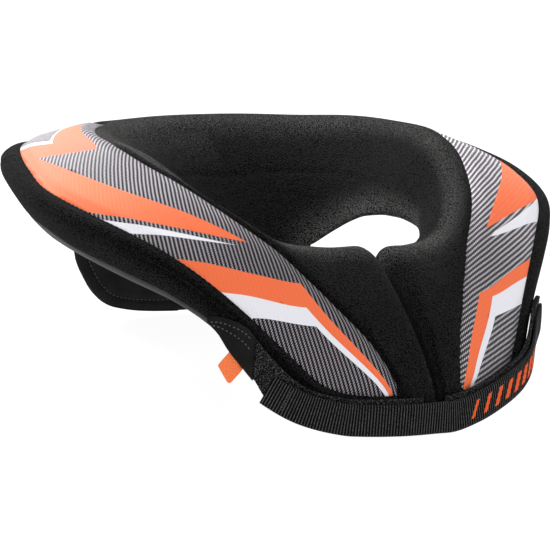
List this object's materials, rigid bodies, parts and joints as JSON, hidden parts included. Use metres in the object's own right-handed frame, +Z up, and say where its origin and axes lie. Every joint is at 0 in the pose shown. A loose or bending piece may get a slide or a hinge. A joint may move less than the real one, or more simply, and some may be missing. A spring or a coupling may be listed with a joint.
{
  "type": "motocross neck roll",
  "caption": "Padded neck roll with a front slit, printed panels sloping over the shoulders, a flap under the back and a webbing strap that closes round the front on hook-and-loop.",
  "frame": {"origin": "centre of the footprint, at the height of the surface it stands on", "axes": "+Z up; the slit and the strap face -Y, the flap is at +Y, +X is the wearer's left"},
  "size_m": [0.2804, 0.2834, 0.1088],
  "materials": {
    "jersey": "black brushed jersey over foam",
    "printed_panel": "printed woven cloth, grey twill look with orange and white stripes",
    "flap_cloth": "black knit over thin padding",
    "tab_cloth": "smooth black laminated cloth",
    "loop_pile": "black hook-and-loop pile",
    "webbing": "black ribbed webbing",
    "orange_tape": "orange woven tape"
  },
  "bodies": {
    "root": {"collar_pad": "jersey", "panel_left": "printed_panel", "panel_right": "printed_panel", "back_flap": "flap_cloth", "anchor_left": "tab_cloth", "anchor_right": "tab_cloth", "loop_band_left": "loop_pile", "loop_band_right": "loop_pile", "front_strap": "webbing", "pull_tab": "orange_tape"}
  },
  "joints": []
}
